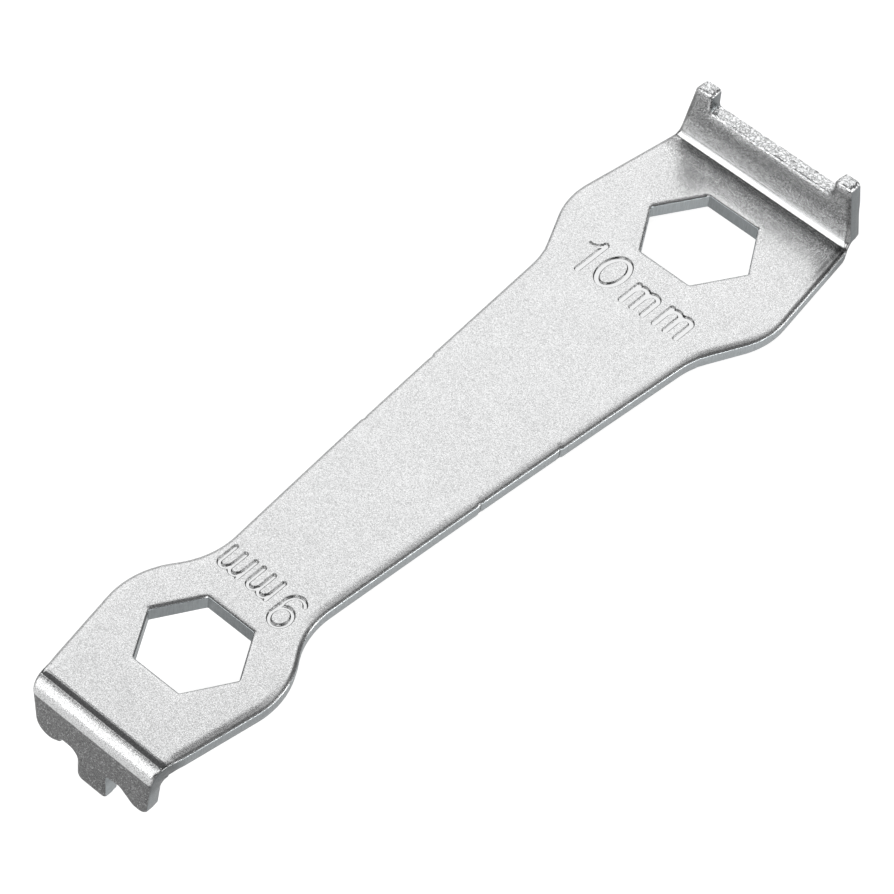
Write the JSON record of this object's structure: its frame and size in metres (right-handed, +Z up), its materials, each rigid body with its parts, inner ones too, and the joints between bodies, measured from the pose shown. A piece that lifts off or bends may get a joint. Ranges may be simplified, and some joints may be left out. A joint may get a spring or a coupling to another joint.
{
  "type": "chainring bolt tool",
  "caption": "Pressed sheet-steel chainring bolt tool with a tapered handle, hexagon sockets and end flanges cut into pegs and teeth.",
  "frame": {"origin": "bottom centre of the bounding box, on the surface that the tool lies on", "axes": "+Y along the handle towards the pegged big head, +Z up; the tool lies as it would on a bench, on its middle tooth and on the outside of the peg bend, so the sheet slopes 4.83 degrees down towards +Y"},
  "size_m": [0.024, 0.0914, 0.0088],
  "materials": {
    "plated_steel": "satin bright plating with a fine sandy grain; cut edges a little darker"
  },
  "bodies": {
    "root": {"tool_body": "plated_steel"}
  },
  "joints": []
}
